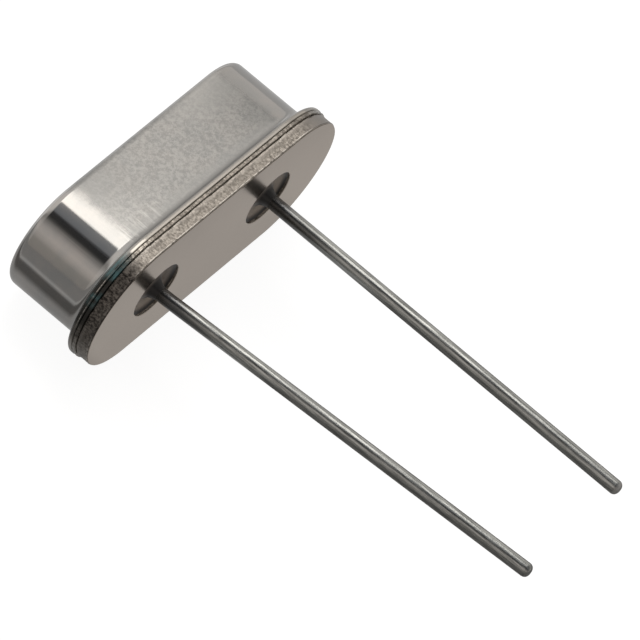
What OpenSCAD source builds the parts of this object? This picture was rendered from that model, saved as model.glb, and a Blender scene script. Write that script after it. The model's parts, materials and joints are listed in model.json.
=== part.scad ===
// Quartz crystal unit: a welded metal can on a stamped base, with two wire leads in glass seals.
// Each piece is drawn upright, with the base's seating face at z = 0, the can above it and the
// leads below it. The whole is then laid on one broad side, as it comes to rest on a table.

/* [Can] */
// Distance between the centres of the two half-round ends, shared by the can and the base
end_span = 6.1; // [5.6:0.05:7]
// Width of the can over its flat sides
can_w = 3.7; // [3.4:0.05:4.2]
// Height from the seating face of the base to the top of the can
total_h = 3.36; // [3:0.02:4.5]
// Thickness of the drawn wall and top
sheet_t = 0.2; // [0.15:0.01:0.25]
// Outside radius along the top edge
top_r = 0.35; // [0.3:0.01:0.6]
// Width of the welding flange outside the wall
flange_out = 0.42; // [0.42:0.01:0.6]
// Thickness of the flange, which stays thicker than the drawn wall
flange_t = 0.3; // [0.25:0.01:0.4]
// Outside radius where the wall turns into the flange
flange_r = 0.31; // [0.1:0.01:0.32]
// Radius inside the mouth, where the wall turns into the flange
mouth_r = 0.3; // [0.1:0.01:0.35]
// Rounding of the flange's upper edge
flange_top_r = 0.1; // [0.04:0.01:0.1]
// Rounding of the flange's lower edge, beside the weld
flange_low_r = 0.04; // [0.02:0.01:0.07]
// Depth of the fine groove round the flange's edge
groove_d = 0.025; // [0.01:0.005:0.03]
// Height of that groove above the flange's lower face
groove_h = 0.125; // [0.1:0.005:0.15]

/* [Base] */
// How far the base's rim stays inside the flange's edge
rim_inset = 0.055; // [0.02:0.005:0.1]
// Thickness of the rim under the flange
rim_t = 0.42; // [0.3:0.01:0.6]
// Rounding of the rim's upper edge, which leaves a fine groove under the flange
rim_edge_r = 0.06; // [0.02:0.01:0.1]
// Height of the raised middle above the rim
boss_h = 0.5; // [0.3:0.02:0.7]
// Gap between the raised middle and the inside of the can
boss_gap = 0.12; // [0.06:0.01:0.2]
// Rounding of the raised middle's edge
boss_edge_r = 0.1; // [0.05:0.01:0.2]

/* [Glass seals] */
// Diameter of each hole in the base
seal_d = 1.8; // [1.4:0.05:2]
// How far the glass stays back from the seating face at its edges
seal_recess = 0.08; // [0.04:0.01:0.15]
// How much deeper the glass sags between the hole's edge and the lead
seal_sag = 0.12; // [0.05:0.01:0.18]

/* [Leads] */
// Distance between the two leads at the base
lead_pitch = 4.88; // [4.6:0.02:5.2]
// Diameter of the lead wire
lead_d = 0.43; // [0.35:0.01:0.5]
// Length of the first lead below the seating face
lead_a_l = 12.9; // [6:0.1:16]
// Length of the second lead below the seating face
lead_b_l = 12.8; // [6:0.1:16]
// Lean of the first lead toward the other one, in degrees
lead_a_lean = 3.7; // [-6:0.1:6]
// Lean of the second lead toward the other one, in degrees
lead_b_lean = -0.1; // [-6:0.1:6]
// Length of wire over which a lead bends to its lean
bend_l = 0.6; // [0.55:0.05:1.5]
// Rounding of the cut end of a lead
tip_r = 0.1; // [0.03:0.01:0.15]
// Diameter of the flattened head on a lead's inner end
head_d = 0.8; // [0.6:0.05:1.1]
// Thickness of the head
head_t = 0.15; // [0.1:0.01:0.25]
// Gap between the glass and the head
head_gap = 0.08; // [0.04:0.01:0.2]

/* [Holder clips] */
// Thickness of the clip's strip
clip_t = 0.1; // [0.06:0.01:0.14]
// Width of the strip
clip_w = 0.9; // [0.7:0.05:1.2]
// Height of the clip from its foot to the shelf under the crystal
clip_h = 0.6; // [0.5:0.02:0.9]
// Inside radius of the strip's bends
clip_bend_r = 0.1; // [0.05:0.01:0.14]
// How far the foot reaches behind the lead's axis
clip_back = 0.45; // [0.35:0.05:0.6]
// Distance from the lead's axis to the far side of the upright
clip_reach = 0.85; // [0.75:0.05:1]
// How far the shelf reaches past the end of the crystal
shelf_past = 0.4; // [0.3:0.02:0.45]

/* [Crystal plate] */
// Length of the quartz plate
blank_l = 7.8; // [7.6:0.05:8.1]
// Width of the quartz plate
blank_w = 1.9; // [1.6:0.05:2.1]
// Thickness of the quartz plate
blank_t = 0.18; // [0.1:0.01:0.25]
// Length of an electrode's pad
pad_l = 4.6; // [3.5:0.1:5.2]
// Width of an electrode's pad
pad_w = 1.4; // [1:0.05:1.6]
// Width of the tab from the pad to the plate's end
tab_w = 0.6; // [0.4:0.05:0.7]
// Thickness of an electrode, drawn thicker than the real film
film_t = 0.02; // [0.01:0.005:0.04]
// Radius of a dab of glue
dab_r = 0.4; // [0.36:0.01:0.44]
// How far a dab's centre lies in from the plate's end
dab_in = 0.1; // [0.05:0.01:0.15]

/* [Hidden] */
$fn = 96;
// Overshoot of a cutting shape past the face it cuts
cut = 0.5;

// Radii of the half-round ends, all struck from the same two centres
can_r = can_w / 2;
flange_edge = can_r + flange_out;
rim_r = flange_edge - rim_inset;
boss_r = can_r - sheet_t - boss_gap;

// Heights above the seating face
flange_top = rim_t + flange_t;
boss_top = rim_t + boss_h;
head_top = boss_top + head_gap + head_t;
shelf_top = head_top + clip_h;
blank_bottom = shelf_top + film_t;
blank_top = blank_bottom + blank_t;

// At rest the floor touches the rounded edges of the flange and of the can's top,
// so the tilt is that of the line which is tangent to both
edge_rise = (total_h - top_r) - (flange_top - flange_top_r);
edge_drop = (flange_edge - flange_top_r) - (can_r - top_r);
rest_tilt = atan2(edge_drop, edge_rise)
    - asin((top_r - flange_top_r) / norm([edge_rise, edge_drop]));
rest_h = (flange_top - flange_top_r) * sin(rest_tilt)
    + (flange_edge - flange_top_r) * cos(rest_tilt) + flange_top_r;

// Reach of the can's top and of the longer lead along the table, which centres the part
back_y = (total_h - top_r) * cos(rest_tilt) + (can_r - top_r) * sin(rest_tilt) + top_r;
lead_depth = max(lead_a_l * cos(lead_a_lean), lead_b_l * cos(lead_b_lean));
front_y = -lead_depth * cos(rest_tilt) - lead_d / 2 * sin(rest_tilt);

// Lays an upright piece on its broad side, leads to the front
module laid_down() {
    translate([0, -(back_y + front_y) / 2, rest_h])
        rotate([-rest_tilt, 0, 0])
            rotate([90, 0, 180])
                children();
}

// Sweeps a half section, drawn as radius and height, round straight sides and half-round ends
module swept_round_ends() {
    for (side = [-1, 1])
        translate([side * end_span / 2, 0, 0])
            rotate([0, 0, -90 * side])
                rotate_extrude(angle = 180)
                    children();
    rotate([90, 0, 90])
        linear_extrude(height = end_span, center = true) {
            children();
            mirror([1, 0]) children();
        }
}

// Half section of a plate with rounded outer edges, from the axis out to radius r
module plate_section(r, low, high, low_r, high_r) {
    translate([0, low + low_r]) square([r, high - low - low_r - high_r]);
    translate([0, low]) square([r - low_r, high - low - high_r]);
    translate([0, low + low_r]) square([r - high_r, high - low - low_r]);
    if (low_r > 0) translate([r - low_r, low + low_r]) circle(low_r);
    if (high_r > 0) translate([r - high_r, high - high_r]) circle(high_r);
}

// Half section of the drawn cover: top, wall and turned-out flange with its grooved edge
module cover_section() {
    difference() {
        union() {
            plate_section(can_r, rim_t, total_h, 0, top_r);
            plate_section(flange_edge, rim_t, flange_top, flange_low_r, flange_top_r);
            translate([can_r, flange_top])
                difference() {
                    square(flange_r);
                    translate([flange_r, flange_r]) circle(flange_r);
                }
        }
        plate_section(can_r - sheet_t, rim_t - cut, total_h - sheet_t, 0, top_r - sheet_t);
        translate([can_r - sheet_t, rim_t])
            difference() {
                square(mouth_r);
                translate([mouth_r, mouth_r]) circle(mouth_r);
            }
        translate([flange_edge, rim_t + groove_h])
            rotate(45) square(groove_d * sqrt(2), center = true);
    }
}

// Cover, deep-drawn from one sheet and open below
module can_cover() {
    color([0.66, 0.65, 0.62])
        laid_down() swept_round_ends() cover_section();
}

// Stamped base: rim under the flange, raised middle inside the can, two holes for the seals
module base_plate() {
    color([0.58, 0.55, 0.52])
        laid_down()
            difference() {
                union() {
                    swept_round_ends() plate_section(rim_r, 0, rim_t, 0, rim_edge_r);
                    swept_round_ends() plate_section(boss_r, 0, boss_top, 0, boss_edge_r);
                }
                for (side = [-1, 1])
                    translate([side * lead_pitch / 2, 0, -cut])
                        cylinder(d = seal_d, h = boss_top + 2 * cut);
            }
}

// Glass bead round a lead, sagging between the hole's edge and the wire
module glass_bead() {
    width = (seal_d - lead_d) / 2;
    sag_r = (width * width / 4 + seal_sag * seal_sag) / (2 * seal_sag);
    rotate_extrude()
        difference() {
            translate([lead_d / 2, seal_recess]) square([width, boss_top - seal_recess]);
            translate([(seal_d + lead_d) / 4, seal_recess + seal_sag - sag_r]) circle(sag_r);
        }
}

module glass_seal(side) {
    color([0.25, 0.22, 0.2])
        laid_down() translate([side * lead_pitch / 2, 0, 0]) glass_bead();
}

// Wire below the seating face: a gentle bend to the lean, a straight stretch and a cut end
module leaning_wire(length, lean) {
    bend_r = bend_l / (lean * PI / 180);
    translate([-bend_r, 0, 0])
        rotate([-90, 0, 0])
            rotate_extrude(angle = lean)
                translate([bend_r, 0]) circle(d = lead_d);
    translate([-bend_r * (1 - cos(lean)), 0, -bend_r * sin(lean)])
        rotate([0, lean, 0])
            straight_wire(length - bend_l);
}

// Straight wire that hangs from the origin and ends in a rounded cut
module straight_wire(length) {
    tip_flat = lead_d / 2 - tip_r;
    translate([0, 0, tip_r - length]) cylinder(d = lead_d, h = length - tip_r);
    translate([0, 0, -length])
        rotate_extrude() {
            square([tip_flat, tip_r]);
            translate([tip_flat, tip_r])
                intersection() {
                    circle(tip_r);
                    translate([0, -tip_r]) square(tip_r);
                }
        }
}

// One lead, drawn on its own axis, with the lean toward -x
module lead_wire(length, lean) {
    cylinder(d = lead_d, h = head_top - head_t);
    translate([0, 0, head_top - head_t]) cylinder(d = head_d, h = head_t);
    if (lean > 0) leaning_wire(length, lean);
    else if (lean < 0) mirror([1, 0, 0]) leaning_wire(length, -lean);
    else straight_wire(length);
}

module lead_a() {
    color([0.62, 0.62, 0.61])
        laid_down() translate([lead_pitch / 2, 0, 0]) lead_wire(lead_a_l, lead_a_lean);
}

module lead_b() {
    color([0.62, 0.62, 0.61])
        laid_down()
            mirror([1, 0, 0])
                translate([lead_pitch / 2, 0, 0]) lead_wire(lead_b_l, lead_b_lean);
}

// Quarter of the ring that a bent strip makes, in the quadrant that the two signs name
module strip_bend(x_sign, z_sign) {
    outer_r = clip_bend_r + clip_t;
    intersection() {
        difference() {
            circle(outer_r);
            circle(clip_bend_r);
        }
        translate([x_sign < 0 ? -outer_r : 0, z_sign < 0 ? -outer_r : 0]) square(outer_r);
    }
}

// Side view of a clip, seen along the width of its strip: foot, upright and shelf
module clip_side() {
    turn_r = clip_bend_r + clip_t;
    upright_x = lead_pitch / 2 + clip_reach;
    shelf_end = blank_l / 2 + shelf_past;
    translate([lead_pitch / 2 - clip_back, 0]) square([clip_back + clip_reach - turn_r, clip_t]);
    translate([upright_x - turn_r, turn_r]) strip_bend(1, -1);
    translate([upright_x - clip_t, turn_r]) square([clip_t, clip_h - 2 * turn_r]);
    translate([upright_x + clip_bend_r, clip_h - turn_r]) strip_bend(-1, 1);
    translate([upright_x + clip_bend_r, clip_h - clip_t])
        square([shelf_end - upright_x - clip_bend_r, clip_t]);
}

// Spring clip of bent strip, welded on the lead's head
module holder_clip(side) {
    color([0.72, 0.68, 0.58])
        laid_down()
            mirror([side < 0 ? 1 : 0, 0, 0])
                translate([0, clip_w / 2, head_top])
                    rotate([90, 0, 0])
                        linear_extrude(height = clip_w) clip_side();
}

// Quartz plate that rests on both shelves
module quartz_blank() {
    color([0.86, 0.88, 0.9])
        laid_down()
            translate([-blank_l / 2, -blank_w / 2, blank_bottom])
                cube([blank_l, blank_w, blank_t]);
}

// Outline of an electrode: a pad in the middle and a tab to the end at +x
module electrode_outline() {
    square([pad_l, pad_w], center = true);
    translate([0, -tab_w / 2]) square([blank_l / 2, tab_w]);
}

module electrode(side, level) {
    color([0.83, 0.82, 0.8])
        laid_down()
            mirror([side < 0 ? 1 : 0, 0, 0])
                translate([0, 0, level])
                    linear_extrude(height = film_t) electrode_outline();
}

module electrode_top() {
    electrode(1, blank_top);
}

module electrode_bottom() {
    electrode(-1, shelf_top);
}

// Dab of glue over the plate's end, standing on the shelf
module adhesive(side) {
    // Only the first end has a tab on top of the plate
    covered = side > 0 ? film_t : 0;
    color([0.7, 0.69, 0.66])
        laid_down()
            mirror([side < 0 ? 1 : 0, 0, 0])
                difference() {
                    translate([blank_l / 2 - dab_in, 0, blank_bottom + blank_t / 2]) sphere(dab_r);
                    translate([blank_l / 2 - 2 * dab_r, -dab_r - cut, shelf_top - 2 * dab_r])
                        cube([4 * dab_r, 2 * (dab_r + cut), 2 * dab_r]);
                    translate([0, -dab_r - cut, shelf_top - cut])
                        cube([blank_l / 2, 2 * (dab_r + cut), blank_top - shelf_top + cut]);
                    translate([0, -tab_w / 2, blank_top - cut])
                        cube([blank_l / 2, tab_w, covered + cut]);
                }
}

can_cover();
base_plate();
glass_seal(1);  // glass_seal_a
glass_seal(-1);  // glass_seal_b
lead_a();
lead_b();
holder_clip(1);  // holder_clip_a
holder_clip(-1);  // holder_clip_b
quartz_blank();
electrode_top();
electrode_bottom();
adhesive(1);  // adhesive_a
adhesive(-1);  // adhesive_b
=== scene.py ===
import json
import math
from collections import Counter

import bpy
from mathutils import Matrix, Vector

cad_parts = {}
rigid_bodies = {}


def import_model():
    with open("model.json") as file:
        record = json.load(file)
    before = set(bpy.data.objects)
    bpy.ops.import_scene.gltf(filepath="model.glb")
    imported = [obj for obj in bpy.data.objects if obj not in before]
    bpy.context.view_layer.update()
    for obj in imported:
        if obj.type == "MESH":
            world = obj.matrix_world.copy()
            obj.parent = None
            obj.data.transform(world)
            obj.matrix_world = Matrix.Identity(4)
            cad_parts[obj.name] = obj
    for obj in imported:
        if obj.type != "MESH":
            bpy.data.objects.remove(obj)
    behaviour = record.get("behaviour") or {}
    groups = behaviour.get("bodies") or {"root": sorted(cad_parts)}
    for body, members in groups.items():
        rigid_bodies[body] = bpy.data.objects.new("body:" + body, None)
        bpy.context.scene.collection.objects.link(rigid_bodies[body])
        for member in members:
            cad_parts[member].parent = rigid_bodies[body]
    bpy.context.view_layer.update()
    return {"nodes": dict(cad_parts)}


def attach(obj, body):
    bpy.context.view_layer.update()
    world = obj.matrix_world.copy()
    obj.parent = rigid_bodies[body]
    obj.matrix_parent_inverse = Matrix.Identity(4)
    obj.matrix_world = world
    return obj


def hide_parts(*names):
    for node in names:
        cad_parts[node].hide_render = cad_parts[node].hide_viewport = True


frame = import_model()

# Drawn cover
# It is deep-drawn from one sheet of nickel-plated metal: a flat top, straight walls with half-round
# ends, and a flange turned out at the mouth, which is welded to the base all round. The flat sides
# keep a fine grain, and the drawing die has smoothed the ends.
mm = 0.001
end_span = 6.1 * mm
can_r = 1.85 * mm
sheet_t = 0.2 * mm
drawn_h = 3.318 * mm
drawn_r = 0.24 * mm
flange_edge = 2.27 * mm
flange_t = 0.3 * mm
flange_r = 0.31 * mm
flange_top_r = 0.1 * mm
flange_low_r = 0.021 * mm
mouth_r = 0.3 * mm
rim_t = 0.42 * mm
flange_top = rim_t + flange_t
groove_up = 0.125 * mm
groove_d = 0.014 * mm
groove_z = rim_t + groove_up
side_crown = 0.035 * mm
worn_depth = 0.0105 * mm
worn_reach = 0.5 * mm
worn_full_share = 0.7
pressed_depth = 0.03 * mm
pressed_noise = 0.22 * mm
pressed_low_share = 0.6
wall_rows = 8
end_steps = 72
side_steps = 72
edge_steps = 8
flat_margin = 0.02 * mm
weld_distance = 0.0002 * mm
smooth_angle = math.radians(32)

plate_dark = (0.386, 0.381, 0.37)
plate_light = (0.42, 0.404, 0.386)
satin_dark = (0.208, 0.209, 0.204)
satin_light = (0.38, 0.372, 0.356)
painted_top_shade_grey = (0.26, 0.26, 0.254)
rubbed_grey = (0.475, 0.464, 0.446)
streak_grey = (0.7, 0.69, 0.665)
scuff_grey = (0.52, 0.52, 0.5)
painted_bend_shade_grey = (0.33, 0.328, 0.32)
painted_foot_shade_grey = (0.335, 0.33, 0.318)
flange_tan = (0.37, 0.348, 0.317)
ridge_tan = (0.46, 0.43, 0.39)
torn_dark = (0.167, 0.15, 0.13)
torn_light = (0.42, 0.386, 0.342)
weld_black = (0.05, 0.048, 0.044)
weld_teal = (0.1, 0.19, 0.2)

# The part lies on one broad side: the floor touches the flange's edge and the top's rounded edge,
# which the solids have at this height and with this rounding
solid_h = 3.36 * mm
solid_top_r = 0.35 * mm
lead_depth = 12.875 * mm
wire_r = 0.215 * mm
edge_rise = (solid_h - solid_top_r) - (flange_top - flange_top_r)
edge_drop = (flange_edge - flange_top_r) - (can_r - solid_top_r)
edge_gap = math.hypot(edge_rise, edge_drop)
rest_tilt = math.atan2(edge_drop, edge_rise) - math.asin((solid_top_r - flange_top_r) / edge_gap)
rest_h = ((flange_top - flange_top_r) * math.sin(rest_tilt)
          + (flange_edge - flange_top_r) * math.cos(rest_tilt) + flange_top_r)
back_y = ((solid_h - solid_top_r) * math.cos(rest_tilt)
          + (can_r - solid_top_r) * math.sin(rest_tilt) + solid_top_r)
front_y = -lead_depth * math.cos(rest_tilt) - wire_r * math.sin(rest_tilt)
laid_down = (Matrix.Translation((0, -(back_y + front_y) / 2, rest_h))
             @ Matrix.Rotation(-rest_tilt, 4, "X")
             @ Matrix.Rotation(math.pi, 4, "Z")
             @ Matrix.Rotation(math.pi / 2, 4, "X"))


def begin_piece(name):
    """Starts an empty mesh piece, in edit mode."""
    bpy.ops.object.select_all(action="DESELECT")
    bpy.ops.mesh.primitive_plane_add(size=mm, location=(0, 0, 0))
    piece = bpy.context.object
    piece.name = name
    piece.data.name = name
    bpy.ops.object.mode_set(mode="EDIT")
    bpy.ops.mesh.select_all(action="SELECT")
    bpy.ops.mesh.delete(type="VERT")
    return piece


def draw_section(axis_x, start, moves):
    """Draws a half section beside the upright line x = axis_x, as radius and height, and selects it.

    A move of two numbers is a straight line to that radius and height, with a point close to each
    end, so that the shading of a rounding stays off the flat. A move of three is an arc round that
    centre, by that many degrees, counted from the radius toward the height.
    """
    bpy.ops.mesh.select_mode(type="VERT")
    bpy.ops.mesh.primitive_plane_add(size=mm, location=(axis_x, -start[0], start[1]))
    bpy.ops.mesh.merge(type="CENTER")
    r, z = start
    for move in moves:
        if len(move) == 2:
            length = math.hypot(move[0] - r, move[1] - z)
            shares = [1.0]
            if length > 4 * flat_margin:
                end_share = flat_margin / length
                shares = [end_share, 1 - 2 * end_share, end_share]
            for share in shares:
                way = (0, (r - move[0]) * share, (move[1] - z) * share)
                bpy.ops.mesh.extrude_region_move(TRANSFORM_OT_translate={"value": way})
            r, z = move
        else:
            centre_r, centre_z, degrees = move
            turn = math.radians(degrees)
            centre = (axis_x, -centre_r, centre_z)
            bpy.ops.mesh.spin(steps=edge_steps, angle=turn, center=centre, axis=(1, 0, 0))
            from_r, from_z = r - centre_r, z - centre_z
            r = centre_r + from_r * math.cos(turn) - from_z * math.sin(turn)
            z = centre_z + from_r * math.sin(turn) + from_z * math.cos(turn)
    bpy.ops.mesh.select_linked()


def weld_points():
    """Joins the points that lie on each other."""
    bpy.ops.mesh.select_all(action="SELECT")
    bpy.ops.mesh.remove_doubles(threshold=weld_distance)


def face_outward():
    """Turns every face of a closed mesh outward."""
    bpy.ops.mesh.select_all(action="SELECT")
    bpy.ops.mesh.normals_make_consistent(inside=False)


def sweep_round_ends():
    """Sweeps the selected section round both half-round ends and along the straight sides."""
    for side in (1, -1):
        centre = (side * end_span / 2, 0, 0)
        bpy.ops.mesh.spin(steps=end_steps, angle=-math.pi, center=centre, axis=(0, 0, 1))
        step = (-side * end_span / side_steps, 0, 0)
        for _ in range(side_steps):
            bpy.ops.mesh.extrude_region_move(TRANSFORM_OT_translate={"value": step})
    weld_points()


def displace(piece, name, weight, depth, middle=0.0, noise_size=None):
    """Moves a piece's surface out, as far as the weight of each point says, plainly or by a noise."""
    bpy.ops.object.mode_set(mode="OBJECT")
    group = piece.vertex_groups.new(name=name)
    for point in piece.data.vertices:
        group.add([point.index], weight(point.co), "REPLACE")
    change = piece.modifiers.new(name, "DISPLACE")
    change.vertex_group = name
    change.strength = depth
    change.mid_level = middle
    if noise_size:
        noise = bpy.data.textures.new(name, "CLOUDS")
        noise.noise_scale = noise_size
        noise.noise_depth = 2
        change.texture = noise
        change.texture_coords = "LOCAL"
    bpy.ops.object.modifier_apply(modifier=name)
    bpy.ops.object.mode_set(mode="EDIT")


def from_middle(point):
    """How far a point lies from the line between the centres of the round ends."""
    return math.hypot(max(abs(point.x) - end_span / 2, 0), point.y)


def finish_piece(piece, nodes, material):
    """Lays a closed mesh down with the rest of the part, gives it its material and hides the nodes
    that it replaces.
    """
    face_outward()
    bpy.ops.object.mode_set(mode="OBJECT")
    piece.matrix_world = laid_down
    bpy.ops.object.transform_apply(location=True, rotation=True, scale=True)
    bpy.ops.object.shade_smooth_by_angle(angle=smooth_angle)
    piece.data.materials.append(material)
    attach(piece, "root")
    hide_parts(*nodes)


def new_material(name):
    """A material with its shader, and the upright place of each point in millimetres."""
    material = bpy.data.materials.new(name)
    material.use_nodes = True
    tree = material.node_tree
    shader = tree.nodes["Principled BSDF"]
    place = tree.nodes.new("ShaderNodeTexCoord")
    upright = tree.nodes.new("ShaderNodeMapping")
    stand_up = laid_down.inverted()
    upright.inputs["Location"].default_value = stand_up.translation / mm
    upright.inputs["Rotation"].default_value = stand_up.to_euler("XYZ")
    upright.inputs["Scale"].default_value = (1 / mm, 1 / mm, 1 / mm)
    tree.links.new(place.outputs["Object"], upright.inputs["Vector"])
    return material, tree, shader, upright.outputs["Vector"]


def plug(tree, socket, value):
    """Links a socket, or sets its number or its colour."""
    if isinstance(value, bpy.types.NodeSocket):
        tree.links.new(value, socket)
    elif isinstance(value, tuple):
        socket.default_value = (*value, 1)
    else:
        socket.default_value = value


def stretched(tree, place, scale, turn=(0, 0, 0)):
    """The place, stretched by a scale for each axis and turned."""
    node = tree.nodes.new("ShaderNodeMapping")
    node.inputs["Scale"].default_value = scale
    node.inputs["Rotation"].default_value = [math.radians(angle) for angle in turn]
    tree.links.new(place, node.inputs["Vector"])
    return node.outputs["Vector"]


def grain(tree, place, scale, detail=2.0, rough=0.5):
    """Noise from 0 to 1, with that many features in a millimetre."""
    node = tree.nodes.new("ShaderNodeTexNoise")
    node.inputs["Scale"].default_value = scale
    node.inputs["Detail"].default_value = detail
    node.inputs["Roughness"].default_value = rough
    tree.links.new(place, node.inputs["Vector"])
    return node.outputs["Fac"]


def ramp(tree, value, from_low, from_high, to_low=0.0, to_high=1.0):
    """Eases from to_low to to_high as the value goes from from_low to from_high."""
    node = tree.nodes.new("ShaderNodeMapRange")
    node.interpolation_type = "SMOOTHSTEP"
    plug(tree, node.inputs["Value"], value)
    node.inputs["From Min"].default_value = from_low
    node.inputs["From Max"].default_value = from_high
    plug(tree, node.inputs["To Min"], to_low)
    plug(tree, node.inputs["To Max"], to_high)
    return node.outputs["Result"]


def calc(tree, kind, first, second=0.0):
    """One step of arithmetic."""
    node = tree.nodes.new("ShaderNodeMath")
    node.operation = kind
    plug(tree, node.inputs[0], first)
    plug(tree, node.inputs[1], second)
    return node.outputs["Value"]


def times(tree, first, *others):
    """The product of several values."""
    for other in others:
        first = calc(tree, "MULTIPLY", first, other)
    return first


def outside_of(tree, value):
    """What a share leaves of the whole."""
    return calc(tree, "SUBTRACT", 1.0, value)


def blend_colour(tree, amount, first, second):
    """A colour between two."""
    node = tree.nodes.new("ShaderNodeMix")
    node.data_type = "RGBA"
    plug(tree, node.inputs["Factor"], amount)
    plug(tree, node.inputs["A"], first)
    plug(tree, node.inputs["B"], second)
    return node.outputs["Result"]


def bump(tree, height, depth, under=None):
    """Surface relief of that depth in millimetres."""
    node = tree.nodes.new("ShaderNodeBump")
    node.inputs["Strength"].default_value = 1.0
    node.inputs["Distance"].default_value = depth * mm
    tree.links.new(height, node.inputs["Height"])
    if under:
        tree.links.new(under, node.inputs["Normal"])
    return node.outputs["Normal"]


def axes_of(tree, place):
    """The three parts of a place."""
    node = tree.nodes.new("ShaderNodeSeparateXYZ")
    tree.links.new(place, node.inputs["Vector"])
    return node.outputs["X"], node.outputs["Y"], node.outputs["Z"]


def weld_tint(tree, place, x, y):
    """How far the heat of the weld has darkened the edge, strongest round the end at +x."""
    half = end_span / 2 / mm
    patches = grain(tree, place, 1.4, 2.0)
    round_end = ramp(tree, x, half + 0.45, half + 1.1)
    upper_part = ramp(tree, y, -0.4, 0.6, 0.3, 1.0)
    return times(tree, round_end, upper_part, ramp(tree, patches, 0.2, 0.55, 0.75, 1.0))


def cover_finish():
    """Nickel plate: satin and speckled on the flat sides, bright with fine draw lines on the ends."""
    material, tree, shader, place = new_material("cover_nickel")
    x, y, z = axes_of(tree, place)
    half = end_span / 2 / mm
    top = drawn_h / mm
    groove = groove_z / mm
    cloud = grain(tree, place, 1.8, 4.0)
    speck = grain(tree, place, 7.0, 3.0, 0.9)
    torn = grain(tree, stretched(tree, place, (12.0, 12.0, 9.0)), 1.0, 3.0, 0.65)
    draw_lines = grain(tree, stretched(tree, place, (16.0, 16.0, 0.5)), 1.0, 3.0)
    scuffs = grain(tree, stretched(tree, place, (30.0, 1.0, 1.2), (0, 35, 0)), 1.0, 2.0)

    # Where the round ends, the flat sides and the parts of the flange are
    wavy_x = calc(tree, "ADD", x, ramp(tree, cloud, 0.3, 0.7, -0.07, 0.07))
    lit_end = ramp(tree, wavy_x, half - 0.36, half + 0.2)
    other_end = ramp(tree, x, -half - 0.1, -half - 0.45)
    below_top = ramp(tree, z, top - 0.002, top - 0.012)
    on_end = times(tree, calc(tree, "ADD", lit_end, other_end), below_top)
    off_top = ramp(tree, calc(tree, "ABSOLUTE", y), 1.3, 1.75)
    on_side = times(tree, off_top, below_top, outside_of(tree, on_end))
    on_flange = ramp(tree, z, 0.74, 0.6)
    on_ridge = times(tree, ramp(tree, z, 0.575, 0.59), ramp(tree, z, 0.615, 0.6))
    below_groove = ramp(tree, z, groove, groove - 0.02)

    # The sides: satin, rubbed lighter toward the end at -x, with streaks and scuffs from the making,
    # and painted shade toward the top of the lit end and in the bend down to the flange
    plate = blend_colour(tree, ramp(tree, cloud, 0.35, 0.65), plate_dark, plate_light)
    satin = blend_colour(tree, ramp(tree, speck, 0.34, 0.66), satin_dark, satin_light)
    plate = blend_colour(tree, times(tree, on_side, 0.6), plate, satin)
    # Painted shade: the sides darken toward the top of the lit end at +x, which tones down the lamp's
    # spill there
    painted_top_shade = times(tree, on_side, ramp(tree, x, 0.5, 3.0), ramp(tree, z, 1.5, 2.8, 0.0, 0.7))
    plate = blend_colour(tree, painted_top_shade, plate, painted_top_shade_grey)
    rubbed = times(tree, on_side, ramp(tree, x, -0.5, -2.8), ramp(tree, z, 1.8, 2.8, 0.0, 0.5))
    plate = blend_colour(tree, rubbed, plate, rubbed_grey)
    near_mouth = times(tree, on_side, ramp(tree, z, 1.7, 1.1), ramp(tree, x, 0.6, 2.6))
    streaks = times(tree, near_mouth, ramp(tree, draw_lines, 0.46, 0.66), 0.8)
    plate = blend_colour(tree, streaks, plate, streak_grey)
    marks = times(tree, on_side, ramp(tree, scuffs, 0.66, 0.74), 0.2)
    plate = blend_colour(tree, marks, plate, scuff_grey)
    # Painted shade in the bend from the wall down to the flange and at its foot
    painted_bend_shade = times(tree, on_side, ramp(tree, z, 1.3, 1.08), ramp(tree, z, 0.88, 0.98), 0.5)
    plate = blend_colour(tree, painted_bend_shade, plate, painted_bend_shade_grey)
    painted_foot_shade = times(tree, on_side, ramp(tree, z, 1.0, 0.85))
    plate = blend_colour(tree, painted_foot_shade, plate, painted_foot_shade_grey)

    # The flange: a worn ridge over the groove, a rough edge under it, and the heat of the weld
    plate = blend_colour(tree, on_flange, plate, flange_tan)
    plate = blend_colour(tree, on_ridge, plate, ridge_tan)
    rough_cut = blend_colour(tree, ramp(tree, torn, 0.36, 0.66), torn_dark, torn_light)
    plate = blend_colour(tree, below_groove, plate, rough_cut)
    worn_ridge = times(tree, on_ridge, ramp(tree, torn, 0.4, 0.6, 0.2, 0.8))
    near_weld = ramp(tree, z, 0.9, 0.7)
    tint = times(tree, near_weld, weld_tint(tree, place, x, y), outside_of(tree, worn_ridge))
    teal = times(tree, ramp(tree, y, 0.9, 1.3), ramp(tree, cloud, 0.4, 0.6))
    burnt = blend_colour(tree, teal, weld_black, weld_teal)
    plug(tree, shader.inputs["Base Color"], blend_colour(tree, tint, plate, burnt))
    shader.inputs["Metallic"].default_value = 1.0

    side_rough = ramp(tree, cloud, 0.3, 0.7, 0.28, 0.32)
    end_rough = ramp(tree, draw_lines, 0.3, 0.7, 0.09, 0.13)
    clean_rough = ramp(tree, on_end, 0.0, 1.0, side_rough, end_rough)
    plug(tree, shader.inputs["Roughness"], ramp(tree, tint, 0.0, 1.0, clean_rough, 0.55))

    relief = bump(tree, times(tree, speck, on_side), 0.0004)
    relief = bump(tree, times(tree, draw_lines, on_end), 0.0008, relief)
    relief = bump(tree, times(tree, torn, below_groove), 0.014, relief)
    plug(tree, shader.inputs["Normal"], relief)
    return material


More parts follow.
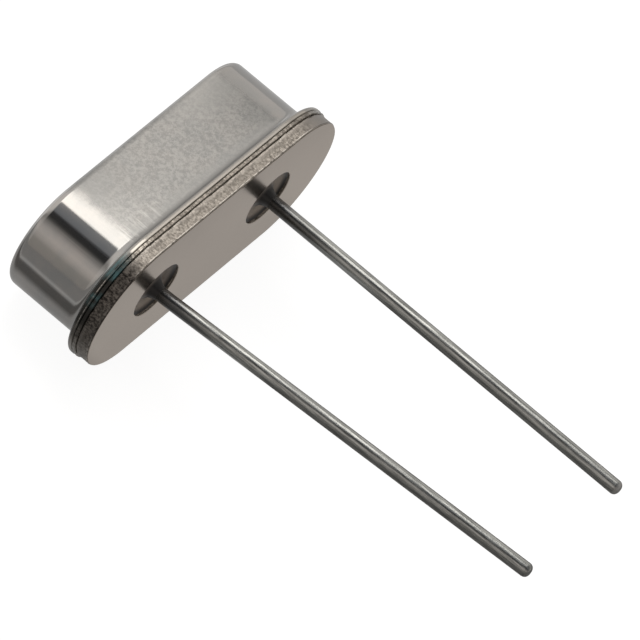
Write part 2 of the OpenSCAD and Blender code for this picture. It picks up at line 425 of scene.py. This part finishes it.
can = begin_piece("drawn_cover")
mouth_edge = can_r - sheet_t + mouth_r
wall_low = flange_top + flange_r
wall_high = drawn_h - drawn_r
wall_step = (wall_high - wall_low) / wall_rows
draw_section(end_span / 2, (0, drawn_h), [
    (can_r - drawn_r, drawn_h),
    (can_r - drawn_r, wall_high, -90),
    *[(can_r, wall_high - row * wall_step) for row in range(1, wall_rows + 1)],
    (can_r + flange_r, wall_low, 90),
    (flange_edge - flange_top_r, flange_top),
    (flange_edge - flange_top_r, flange_top - flange_top_r, -90),
    (flange_edge, groove_z + groove_d),
    (flange_edge - groove_d, groove_z),
    (flange_edge, groove_z - groove_d),
    (flange_edge, rim_t + flange_low_r),
    (flange_edge - flange_low_r, rim_t + flange_low_r, -90),
    (mouth_edge, rim_t),
    (mouth_edge, rim_t + mouth_r, -90),
    (can_r - sheet_t, wall_high),
    (can_r - drawn_r, wall_high, 90),
    (0, drawn_h - sheet_t),
])
sweep_round_ends()
face_outward()


def on_flat_side(point):
    """Most in the middle of a flat side. The lower one lies on the table, so its edges stay flat."""
    along = 2 * point.x / end_span
    low, high = (flange_top, drawn_h) if point.y > 0 else (wall_low, wall_high)
    upward = (2 * point.z - low - high) / (high - low)
    out = max(abs(point.y) - can_r + drawn_r, 0)
    outside = math.hypot(out, max(point.z - wall_high, 0)) > drawn_r - sheet_t / 2
    if not outside or abs(along) > 1 or abs(upward) > 1:
        return 0.0
    return (1 - along ** 4) * (1 - upward ** 4)


def on_worn_edge(point):
    """The rounded edge of the top where the part lies on it, and less beside it."""
    out = -point.y - can_r + drawn_r
    up = point.z - wall_high
    if out < 0 or math.hypot(out, max(up, 0)) < drawn_r - sheet_t / 2:
        return 0.0
    beside = max(0.0, 1 - (up / worn_reach) ** 2)
    return beside * min(1.0, out / drawn_r / worn_full_share)


def on_pressed_edge(point):
    """The flange's edge below the groove, which the welding ring has pressed."""
    inner_edge = flange_edge - flange_low_r - weld_distance
    if point.z > groove_z + weld_distance or from_middle(point) < inner_edge:
        return 0.0
    return 1.0 if point.z > rim_t + flange_low_r + weld_distance else pressed_low_share


displace(can, "side_crown", on_flat_side, side_crown)
displace(can, "worn_edge", on_worn_edge, -worn_depth)
displace(can, "pressed_edge", on_pressed_edge, pressed_depth, middle=1.0, noise_size=pressed_noise)
finish_piece(can, ["can_cover"], cover_finish())

# Base
# The base is stamped from thick plate and plated: a rim under the flange with a rough sheared
# edge and a fine burr, a raised middle inside the can, and two punched holes for the glass seals.
rim_r = 2.215 * mm
rim_edge_r = 0.028 * mm
burr_z = 0.045 * mm
burr_out = 0.006 * mm
burr_under = 0.007 * mm
sheared_rows = 8
sheared_depth = 0.013 * mm
sheared_noise = 0.16 * mm
chipped_height = 0.12 * mm
chipped_depth = 0.065 * mm
chipped_noise = 0.24 * mm
boss_r = 1.53 * mm
boss_top = 0.92 * mm
boss_edge_r = 0.1 * mm
lead_pitch = 4.88 * mm
seal_r = 0.9 * mm
hole_edge_r = 0.025 * mm
hole_steps = 72

face_dark = (0.42, 0.352, 0.288)
face_light = (0.452, 0.381, 0.314)
fleck_brown = (0.37, 0.315, 0.276)
sheared_dark = (0.182, 0.164, 0.144)
sheared_light = (0.475, 0.435, 0.387)
painted_burr_highlight = (0.8, 0.75, 0.68)
upper_tan = (0.58, 0.54, 0.49)
shear_line_dark = (0.17, 0.153, 0.135)
plain_end_tan = (0.31, 0.285, 0.26)
burnt_dark = (0.03, 0.026, 0.023)
burnt_light = (0.2, 0.178, 0.158)


def select_edges(piece, test):
    """Selects the open edges whose two ends both pass the test."""
    bpy.ops.mesh.select_mode(type="EDGE")
    bpy.ops.mesh.select_all(action="DESELECT")
    bpy.ops.object.mode_set(mode="OBJECT")
    points = piece.data.vertices
    sides = Counter(key for face in piece.data.polygons for key in face.edge_keys)
    for edge in piece.data.edges:
        edge.select = sides[edge.key] < 2 and all(test(points[i].co) for i in edge.vertices)
    bpy.ops.object.mode_set(mode="EDIT")


def spin_round(axis_x, steps):
    """Turns the selected section once round its upright line."""
    bpy.ops.mesh.spin(steps=steps, angle=2 * math.pi, center=(axis_x, 0, 0), axis=(0, 0, 1))
    weld_points()


def base_finish():
    """Plate with a smooth satin face, a rough, torn-looking sheared edge, and a painted highlight
    along the burr.
    """
    material, tree, shader, place = new_material("base_plate_nickel")
    x, y, z = axes_of(tree, place)
    half = end_span / 2 / mm
    cloud = grain(tree, place, 0.9, 3.0)
    fleck = grain(tree, place, 9.0, 2.0)
    dents = grain(tree, place, 5.0, 2.0)
    torn = grain(tree, stretched(tree, place, (15.0, 15.0, 11.0)), 1.0, 4.0, 0.7)
    on_edge = ramp(tree, z, 0.002, 0.02)
    plain_end = ramp(tree, x, -half - 0.2, -half - 1.0)
    burnt_part = weld_tint(tree, place, x, y)

    face = blend_colour(tree, cloud, face_dark, face_light)
    face = blend_colour(tree, ramp(tree, fleck, 0.62, 0.72, 0.0, 0.25), face, fleck_brown)

    edge = blend_colour(tree, ramp(tree, torn, 0.32, 0.7), sheared_dark, sheared_light)
    # Painted highlight: a broken bright line just above the burr
    near_burr = times(tree, ramp(tree, z, 0.03, 0.04), ramp(tree, z, 0.07, 0.055))
    painted_burr_line = times(tree, near_burr, ramp(tree, dents, 0.4, 0.55))
    edge = blend_colour(tree, painted_burr_line, edge, painted_burr_highlight)
    edge = blend_colour(tree, ramp(tree, z, 0.25, 0.38, 0.0, 0.5), edge, upper_tan)
    near_line = times(tree, ramp(tree, z, 0.2, 0.24), ramp(tree, z, 0.37, 0.32))
    on_shear_line = times(tree, near_line, ramp(tree, dents, 0.35, 0.55), 0.5)
    edge = blend_colour(tree, on_shear_line, edge, shear_line_dark)
    edge = blend_colour(tree, plain_end, edge, plain_end_tan)
    burnt = blend_colour(tree, ramp(tree, torn, 0.36, 0.66), burnt_dark, burnt_light)
    edge = blend_colour(tree, burnt_part, edge, burnt)
    plug(tree, shader.inputs["Base Color"], blend_colour(tree, on_edge, face, edge))
    shader.inputs["Metallic"].default_value = 1.0

    edge_rough = ramp(tree, burnt_part, 0.0, 1.0, 0.36, 0.5)
    plug(tree, shader.inputs["Roughness"], ramp(tree, on_edge, 0.0, 1.0, 0.23, edge_rough))

    rough_part = times(tree, on_edge, outside_of(tree, times(tree, plain_end, 0.85)))
    relief = bump(tree, times(tree, torn, rough_part), 0.014)
    relief = bump(tree, times(tree, dents, rough_part), 0.018, relief)
    relief = bump(tree, grain(tree, place, 3.0, 3.0), 0.001, relief)
    plug(tree, shader.inputs["Normal"], relief)
    return material


base = begin_piece("stamped_base")
sheared_low = 1.5 * burr_z
sheared_high = rim_t - rim_edge_r
sheared_step = (sheared_high - sheared_low) / sheared_rows
draw_section(end_span / 2, (rim_r - 3 * burr_under - flat_margin, 0), [
    (rim_r - 3 * burr_under, 0),
    (rim_r - 1.5 * burr_under, burr_z / 4),
    (rim_r - burr_under, burr_z * 0.7),
    (rim_r + burr_out, burr_z),
    *[(rim_r, sheared_low + row * sheared_step) for row in range(sheared_rows + 1)],
    (rim_r - rim_edge_r, rim_t - rim_edge_r, 90),
    (boss_r, rim_t),
    (boss_r, boss_top - boss_edge_r),
    (boss_r - boss_edge_r, boss_top - boss_edge_r, 90),
    (boss_r - boss_edge_r - flat_margin, boss_top),
])
sweep_round_ends()
for side in (1, -1):
    draw_section(side * lead_pitch / 2, (seal_r + hole_edge_r + flat_margin, 0), [
        (seal_r + hole_edge_r, 0),
        (seal_r + hole_edge_r, hole_edge_r, -90),
        (seal_r, boss_top),
    ])
    spin_round(side * lead_pitch / 2, hole_steps)
for level in (0, boss_top):
    select_edges(base, lambda point: abs(point.z - level) < weld_distance)
    bpy.ops.mesh.fill(use_beauty=True)
face_outward()


def on_sheared_edge(point):
    """The rim's edge, from the burr up to the rounding under the flange."""
    return float(from_middle(point) > rim_r - 2 * burr_under and point.z < sheared_high)


def on_chipped_edge(point):
    """Rises toward the upper corner of the rim's edge."""
    if from_middle(point) < rim_r - 2 * rim_edge_r or point.z > rim_t - weld_distance:
        return 0.0
    return max(0.0, 1 - (rim_t - point.z) / chipped_height)


displace(base, "sheared_edge", on_sheared_edge, sheared_depth, middle=0.5, noise_size=sheared_noise)
displace(base, "chipped_edge", on_chipped_edge, chipped_depth, middle=0.55, noise_size=chipped_noise)
finish_piece(base, ["base_plate"], base_finish())

# Glass seals
# Each seal is a bead of dark sealing glass, melted into the base's hole round the lead. Its
# surface creeps up the wire and the hole's wall, and sags between them.
seal_recess = 0.08 * mm
seal_sag = 0.12 * mm
collar_w = 0.085 * mm
collar_h = 0.17 * mm
glass_ior = 1.5

painted_seal_shade = (0.034, 0.031, 0.03)
glass_brown = (0.38, 0.32, 0.266)
glass_pale = (0.6, 0.512, 0.434)
painted_seal_reflection = (0.14, 0.11, 0.09)


def glass_finish():
    """Brown glass, mottled in the middle of the ring, with painted shade beside the wire and the wall
    and a painted dark reflection on one side of seal a.
    """
    material, tree, shader, place = new_material("sealing_glass")
    x, y, _ = axes_of(tree, place)
    from_wire = calc(tree, "SUBTRACT", calc(tree, "ABSOLUTE", x), lead_pitch / 2 / mm)
    squares = calc(tree, "ADD", times(tree, from_wire, from_wire), times(tree, y, y))
    radius = calc(tree, "SQRT", squares)
    cloud = grain(tree, place, 3.0, 3.0)
    clear = blend_colour(tree, cloud, glass_brown, glass_pale)
    # Painted dark reflection across one side of seal a
    sideways = calc(tree, "SUBTRACT", times(tree, y, 0.57), times(tree, from_wire, 0.82))
    painted_reflection_share = times(tree, ramp(tree, x, -0.5, 0.5), ramp(tree, sideways, 0.0, 0.5, 0.0, 0.6))
    clear = blend_colour(tree, painted_reflection_share, clear, painted_seal_reflection)
    # Painted shade: beside the wire and the hole's wall the glass takes a dark colour, and only the
    # middle of the ring shows the mottled brown
    ring = times(tree, ramp(tree, radius, 0.28, 0.5), ramp(tree, radius, 0.88, 0.74))
    plug(tree, shader.inputs["Base Color"], blend_colour(tree, ring, painted_seal_shade, clear))
    plug(tree, shader.inputs["Roughness"], ramp(tree, cloud, 0.3, 0.7, 0.34, 0.46))
    shader.inputs["IOR"].default_value = glass_ior
    plug(tree, shader.inputs["Normal"], bump(tree, grain(tree, place, 4.0, 2.0), 0.006))
    return material


seal_glass = glass_finish()
collar_r = wire_r + collar_w
sag_w = seal_r - collar_r
sag_r = (sag_w * sag_w / 4 + seal_sag * seal_sag) / (2 * seal_sag)
sag_turn = 2 * math.degrees(math.asin(sag_w / 2 / sag_r))
for label, side in (("a", 1), ("b", -1)):
    seal = begin_piece("glass_bead_" + label)
    draw_section(side * lead_pitch / 2, (seal_r, boss_top), [
        (seal_r, seal_recess),
        ((seal_r + collar_r) / 2, seal_recess + seal_sag - sag_r, sag_turn),
        (wire_r + collar_w * 0.6, 0),
        (wire_r + collar_w * 0.3, -collar_h / 3),
        (wire_r + collar_w * 0.1, -collar_h * 0.7),
        (wire_r, -collar_h),
        (wire_r, boss_top),
        (seal_r, boss_top),
    ])
    spin_round(side * lead_pitch / 2, hole_steps)
    finish_piece(seal, ["glass_seal_" + label], seal_glass)

# Leads
# The leads are drawn and plated wire. A flattened head on the inner end carries the crystal's
# holder, the wire passes through the glass, and the outer end is cut off and rounded.
head_top = 1.15 * mm
head_t = 0.15 * mm
head_r = 0.4 * mm
bend_l = 0.6 * mm
tip_r = 0.16 * mm
tip_steps = 6
wire_steps = 48
bend_steps = 10

wire_dark = (0.255, 0.259, 0.25)
wire_light = (0.475, 0.48, 0.462)
oxide_and_reflection_grey = (0.17, 0.17, 0.178)
painted_root_shade_grey = (0.15, 0.149, 0.156)
painted_side_reflection_grey = (0.07, 0.071, 0.07)
cut_grey = (0.55, 0.546, 0.53)

# Each lead's letter, its side of the base, its length under the base and its lean to the other lead
lead_shapes = [
    ("a", 1, 12.9 * mm, math.radians(3.7)),
    ("b", -1, 12.8 * mm, math.radians(-0.1)),
]


def wire_finish():
    """Plated wire, scratched along its length by the drawing die, with oxide and painted shade and
    reflection near the glass, a painted dark reflection down one side, and a lighter matte cut end.
    """
    material, tree, shader, place = new_material("lead_wire_plate")
    x, _, z = axes_of(tree, place)
    along = grain(tree, stretched(tree, place, (20.0, 20.0, 0.9)), 1.0, 4.0, 0.65)
    nicks = grain(tree, stretched(tree, place, (15.0, 15.0, 6.0)), 1.0, 3.0, 0.6)
    cloud = grain(tree, place, 1.6, 3.0)
    plate = blend_colour(tree, ramp(tree, along, 0.35, 0.65), wire_dark, wire_light)
    # Within about 1.5 mm of the glass the wire is darker: partly oxide, partly a painted dark
    # reflection of the base face
    oxide_and_reflection = times(tree, ramp(tree, z, -1.5, -0.5), ramp(tree, nicks, 0.35, 0.6, 1.0, 0.65))
    plate = blend_colour(tree, oxide_and_reflection, plate, oxide_and_reflection_grey)
    # Painted shade: the wire darkens where it enters the glass
    root = times(tree, ramp(tree, z, -0.35, -0.05), 0.6)
    plate = blend_colour(tree, root, plate, painted_root_shade_grey)
    # Painted dark reflection down the +x side of each wire, between 1.4 and 3.2 mm from the glass
    middle = lead_pitch / 2 / mm
    aside = calc(tree, "SUBTRACT", x, ramp(tree, x, -0.1, 0.1, -middle, middle))
    painted_side_reflection = times(tree, ramp(tree, aside, -0.05, 0.15), ramp(tree, z, -3.2, -1.4), 0.75)
    plate = blend_colour(tree, painted_side_reflection, plate, painted_side_reflection_grey)
    cut_end = times(tree, ramp(tree, x, 0.5, -0.5), ramp(tree, z, -12.66, -12.74))
    plug(tree, shader.inputs["Base Color"], blend_colour(tree, cut_end, plate, cut_grey))
    shader.inputs["Metallic"].default_value = 1.0
    drawn_rough = ramp(tree, cloud, 0.3, 0.7, 0.2, 0.29)
    plug(tree, shader.inputs["Roughness"], ramp(tree, cut_end, 0.0, 1.0, drawn_rough, 0.5))
    relief = bump(tree, along, 0.0025)
    relief = bump(tree, nicks, 0.004, relief)
    plug(tree, shader.inputs["Normal"], relief)
    return material


lead_wire = wire_finish()
for label, side, length, lean in lead_shapes:
    lead = begin_piece("wire_lead_" + label)
    axis_x = side * lead_pitch / 2
    draw_section(axis_x, (0, head_top), [
        (head_r, head_top),
        (head_r, head_top - head_t),
        (wire_r, head_top - head_t),
        (wire_r, 0),
    ])
    spin_round(axis_x, wire_steps)
    select_edges(lead, lambda point: abs(point.z) < weld_distance)
    inward = side if lean > 0 else -side
    bend = abs(lean)
    bend_r = bend_l / bend
    bend_centre = (axis_x - inward * bend_r, 0, 0)
    bpy.ops.mesh.spin(steps=bend_steps, angle=-inward * bend, center=bend_centre, axis=(0, 1, 0))
    run = length - bend_l
    way = (-inward * run * math.sin(bend), 0, -run * math.cos(bend))
    bpy.ops.mesh.extrude_region_move(TRANSFORM_OT_translate={"value": way})
    bpy.ops.mesh.edge_face_add()
    bpy.ops.mesh.bevel(offset=tip_r, segments=tip_steps, affect="EDGES")
    finish_piece(lead, ["lead_" + label], lead_wire)

# Crystal and its holders
# Sealed inside the can: two bent spring clips on the lead heads, a thin quartz plate between
# them with a silver film on each face, and a dab of silver-filled glue at each end.
clip_dark = (0.45, 0.41, 0.33)
clip_light = (0.56, 0.52, 0.43)
quartz_dark = (0.7, 0.72, 0.74)
quartz_light = (0.82, 0.84, 0.86)
film_dark = (0.72, 0.71, 0.68)
film_light = (0.84, 0.83, 0.8)
glue_dark = (0.42, 0.41, 0.39)
glue_light = (0.58, 0.57, 0.54)


def inner_finish(name, dark, light, metallic, rough, scale):
    """A plain mottled finish for a piece that the can hides."""
    material, tree, shader, place = new_material(name)
    cloud = grain(tree, place, scale, 3.0)
    plug(tree, shader.inputs["Base Color"], blend_colour(tree, cloud, dark, light))
    shader.inputs["Metallic"].default_value = metallic
    plug(tree, shader.inputs["Roughness"], ramp(tree, cloud, 0.3, 0.7, rough * 0.8, rough * 1.2))
    plug(tree, shader.inputs["Normal"], bump(tree, cloud, 0.003))
    return material


def dress(nodes, material):
    """Gives nodes of the frame a material."""
    for name in nodes:
        mesh = frame["nodes"][name].data
        mesh.materials.clear()
        mesh.materials.append(material)


clip_strip = inner_finish("clip_strip", clip_dark, clip_light, metallic=1.0, rough=0.3, scale=3.0)
dress(["holder_clip_a", "holder_clip_b"], clip_strip)
quartz = inner_finish("etched_quartz", quartz_dark, quartz_light, metallic=0.0, rough=0.35, scale=2.0)
dress(["quartz_blank"], quartz)
silver_film = inner_finish("silver_film", film_dark, film_light, metallic=1.0, rough=0.25, scale=1.5)
dress(["electrode_top", "electrode_bottom"], silver_film)
silver_glue = inner_finish("silver_glue", glue_dark, glue_light, metallic=0.3, rough=0.6, scale=8.0)
dress(["adhesive_a", "adhesive_b"], silver_glue)

# Floor
# A plain white table, which is no part of the object. Part of its brightness is its own, so that
# it reads as white in the picture and pale in the metal, and the rest takes the object's shadow.
floor_size = 4.0
floor_glow = 0.9
glow_near = 0.525
glow_far = 0.42
paper_grey = (0.3, 0.3, 0.3)
glow_white = (1, 1, 1)
bpy.ops.object.select_all(action="DESELECT")
bpy.ops.mesh.primitive_plane_add(size=floor_size, location=(0, 0, 0))
floor = bpy.context.object
floor.name = "table"
table = bpy.data.materials.new("white_table")
table.use_nodes = True
tree = table.node_tree
tree.nodes.clear()
paper = tree.nodes.new("ShaderNodeBsdfDiffuse")
plug(tree, paper.inputs["Color"], paper_grey)
glow = tree.nodes.new("ShaderNodeEmission")
plug(tree, glow.inputs["Color"], glow_white)
rays = tree.nodes.new("ShaderNodeLightPath")
spot = tree.nodes.new("ShaderNodeTexCoord")
spot_x, spot_y, _ = axes_of(tree, spot.outputs["Object"])

# How much of the glow the metal mirrors, from the table beside the part and behind it
beside_part = ramp(tree, spot_x, -6.6 * mm, -5.4 * mm, 0.0, 0.6)
under_part = ramp(tree, spot_x, -4.6 * mm, -3.4 * mm, 0.0, 0.4)
near_part = calc(tree, "ADD", beside_part, under_part)
far_start = ramp(tree, spot_x, -8.0 * mm, -9.2 * mm)
far_part = times(tree, far_start, ramp(tree, spot_x, -9.5 * mm, -10.6 * mm, 1.0, 0.45))
near_and_far = calc(tree, "ADD", times(tree, near_part, glow_near), times(tree, far_part, glow_far))
under_leads = ramp(tree, spot_y, 0.4 * mm, 2.5 * mm, 0.1, 1.0)
past_base = ramp(tree, spot_x, 2 * mm, 8 * mm, 1.0, 0.88)
around = times(tree, near_and_far, under_leads, past_base)
behind_start = ramp(tree, spot_x, -8 * mm, -6.2 * mm)
behind_can = times(tree, behind_start, ramp(tree, spot_x, 26 * mm, 14 * mm))
behind = times(tree, behind_can, ramp(tree, spot_y, 10 * mm, 17 * mm, 0.0, 0.5))
lit_part = calc(tree, "ADD", around, behind)
mirrored = calc(tree, "MAXIMUM", rays.outputs["Is Glossy Ray"], rays.outputs["Is Transmission Ray"])
seen = calc(tree, "MAXIMUM", rays.outputs["Is Camera Ray"], times(tree, mirrored, lit_part))
tree.links.new(times(tree, seen, floor_glow), glow.inputs["Strength"])
both = tree.nodes.new("ShaderNodeAddShader")
tree.links.new(paper.outputs["BSDF"], both.inputs[0])
tree.links.new(glow.outputs["Emission"], both.inputs[1])
surface = tree.nodes.new("ShaderNodeOutputMaterial")
tree.links.new(both.outputs["Shader"], surface.inputs["Surface"])
floor.data.materials.append(table)

# Light
# One soft lamp hangs above the part, a little toward its far end. The room is pale beyond that
# end and dimmer round the leads, with a dark stretch overhead. The round metal shows these as bands.
lamp_swing = math.radians(-20)
lamp_lean = math.radians(14)
lamp_distance = 0.12
lamp_width = 0.062
lamp_length = 0.06
lamp_power = 0.0238
lamp_colour = (1.0, 0.96, 0.91)
back_dim = (0.76, 0.735, 0.71)
back_bright = (0.98, 0.95, 0.92)

# The room's colours round the line of the leads, in degrees from overhead toward the near end
room_bands = [
    (-180, (0.55, 0.55, 0.54)), (-110, (0.87, 0.83, 0.795)), (-52, (0.8, 0.775, 0.745)),
    (-38, (0.36, 0.36, 0.355)), (-8, (0.5, 0.5, 0.5)), (-3, (0.36, 0.365, 0.375)),
    (12, (0.29, 0.3, 0.32)), (16, (0.045, 0.045, 0.048)), (27, (0.05, 0.05, 0.05)),
    (33, (0.28, 0.27, 0.26)), (44, (0.64, 0.6, 0.575)), (54, (0.74, 0.69, 0.655)),
    (63, (0.62, 0.58, 0.55)), (71, (0.43, 0.41, 0.385)), (100, (0.36, 0.345, 0.325)),
    (180, (0.55, 0.55, 0.54)),
]
upright_x = laid_down.to_3x3() @ Vector((1, 0, 0))
upright_y = laid_down.to_3x3() @ Vector((0, 1, 0))
upright_z = laid_down.to_3x3() @ Vector((0, 0, 1))
part_middle = laid_down @ Vector((0, 0, solid_h / 2))

across = upright_x * math.cos(lamp_swing) - upright_y * math.sin(lamp_swing)
overhead = upright_x * math.sin(lamp_swing) + upright_y * math.cos(lamp_swing)
toward = overhead * math.cos(lamp_lean) + upright_z * math.sin(lamp_lean)
lamp_data = bpy.data.lights.new("soft_lamp", "AREA")
lamp_data.shape = "RECTANGLE"
lamp_data.size = lamp_width
lamp_data.size_y = lamp_length
lamp_data.energy = lamp_power
lamp_data.color = lamp_colour
lamp = bpy.data.objects.new("soft_lamp", lamp_data)
bpy.context.scene.collection.objects.link(lamp)
turned = Matrix((across, toward.cross(across), toward)).transposed().to_4x4()
lamp.matrix_world = Matrix.Translation(part_middle + toward * lamp_distance) @ turned

world = bpy.data.worlds.new("room")
world.use_nodes = True
bpy.context.scene.world = world
tree = world.node_tree
room = tree.nodes["Background"]
way = tree.nodes.new("ShaderNodeTexCoord")


def part_along(axis):
    """How far the room's direction goes along an axis."""
    node = tree.nodes.new("ShaderNodeVectorMath")
    node.operation = "DOT_PRODUCT"
    tree.links.new(way.outputs["Generated"], node.inputs[0])
    node.inputs[1].default_value = axis
    return node.outputs["Value"]


swing = calc(tree, "ARCTAN2", part_along(upright_x), part_along(upright_y))
turn_share = calc(tree, "DIVIDE", calc(tree, "ADD", swing, math.pi), 2 * math.pi)
bands = tree.nodes.new("ShaderNodeValToRGB")
tree.links.new(turn_share, bands.inputs["Fac"])
while len(bands.color_ramp.elements) < len(room_bands):
    bands.color_ramp.elements.new(0.5)
for element, (degrees, colour) in zip(bands.color_ramp.elements, room_bands):
    element.position = (degrees + 180) / 360
    element.color = (*colour, 1)

toward_back = part_along(upright_z)
off_near_end = ramp(tree, swing, math.radians(35), 0.0, 0.25, 1.0)
at_back = times(tree, ramp(tree, toward_back, 0.3, 0.52), off_near_end)
facing_side = ramp(tree, swing, math.radians(-74), math.radians(-52))
back_colour = blend_colour(tree, facing_side, back_dim, back_bright)
room_colour = blend_colour(tree, at_back, bands.outputs["Color"], back_colour)
tree.links.new(room_colour, room.inputs["Color"])
tree.links.new(ramp(tree, toward_back, -0.2, 0.1, 0.6, 1.0), room.inputs["Strength"])

# Camera
# It looks steeply down on the part from beside the can's round end, through a long lens. Its
# place and turn were fitted to the outlines of the base, the can and the leads.
camera_place = (-0.160017, -0.025026, 0.221918)
camera_turn = (30.154, -21.7651, -48.2339)
camera_lens = 562.86
camera_sensor = 36.0
nearest_seen = 0.001
farthest_seen = 20.0
camera_data = bpy.data.cameras.new("camera")
camera_data.lens = camera_lens
camera_data.sensor_width = camera_sensor
camera_data.clip_start = nearest_seen
camera_data.clip_end = farthest_seen
camera = bpy.data.objects.new("camera", camera_data)
camera.location = camera_place
camera.rotation_euler = [math.radians(angle) for angle in camera_turn]
bpy.context.scene.collection.objects.link(camera)
bpy.context.scene.camera = camera
bpy.context.scene.view_settings.view_transform = "Standard"
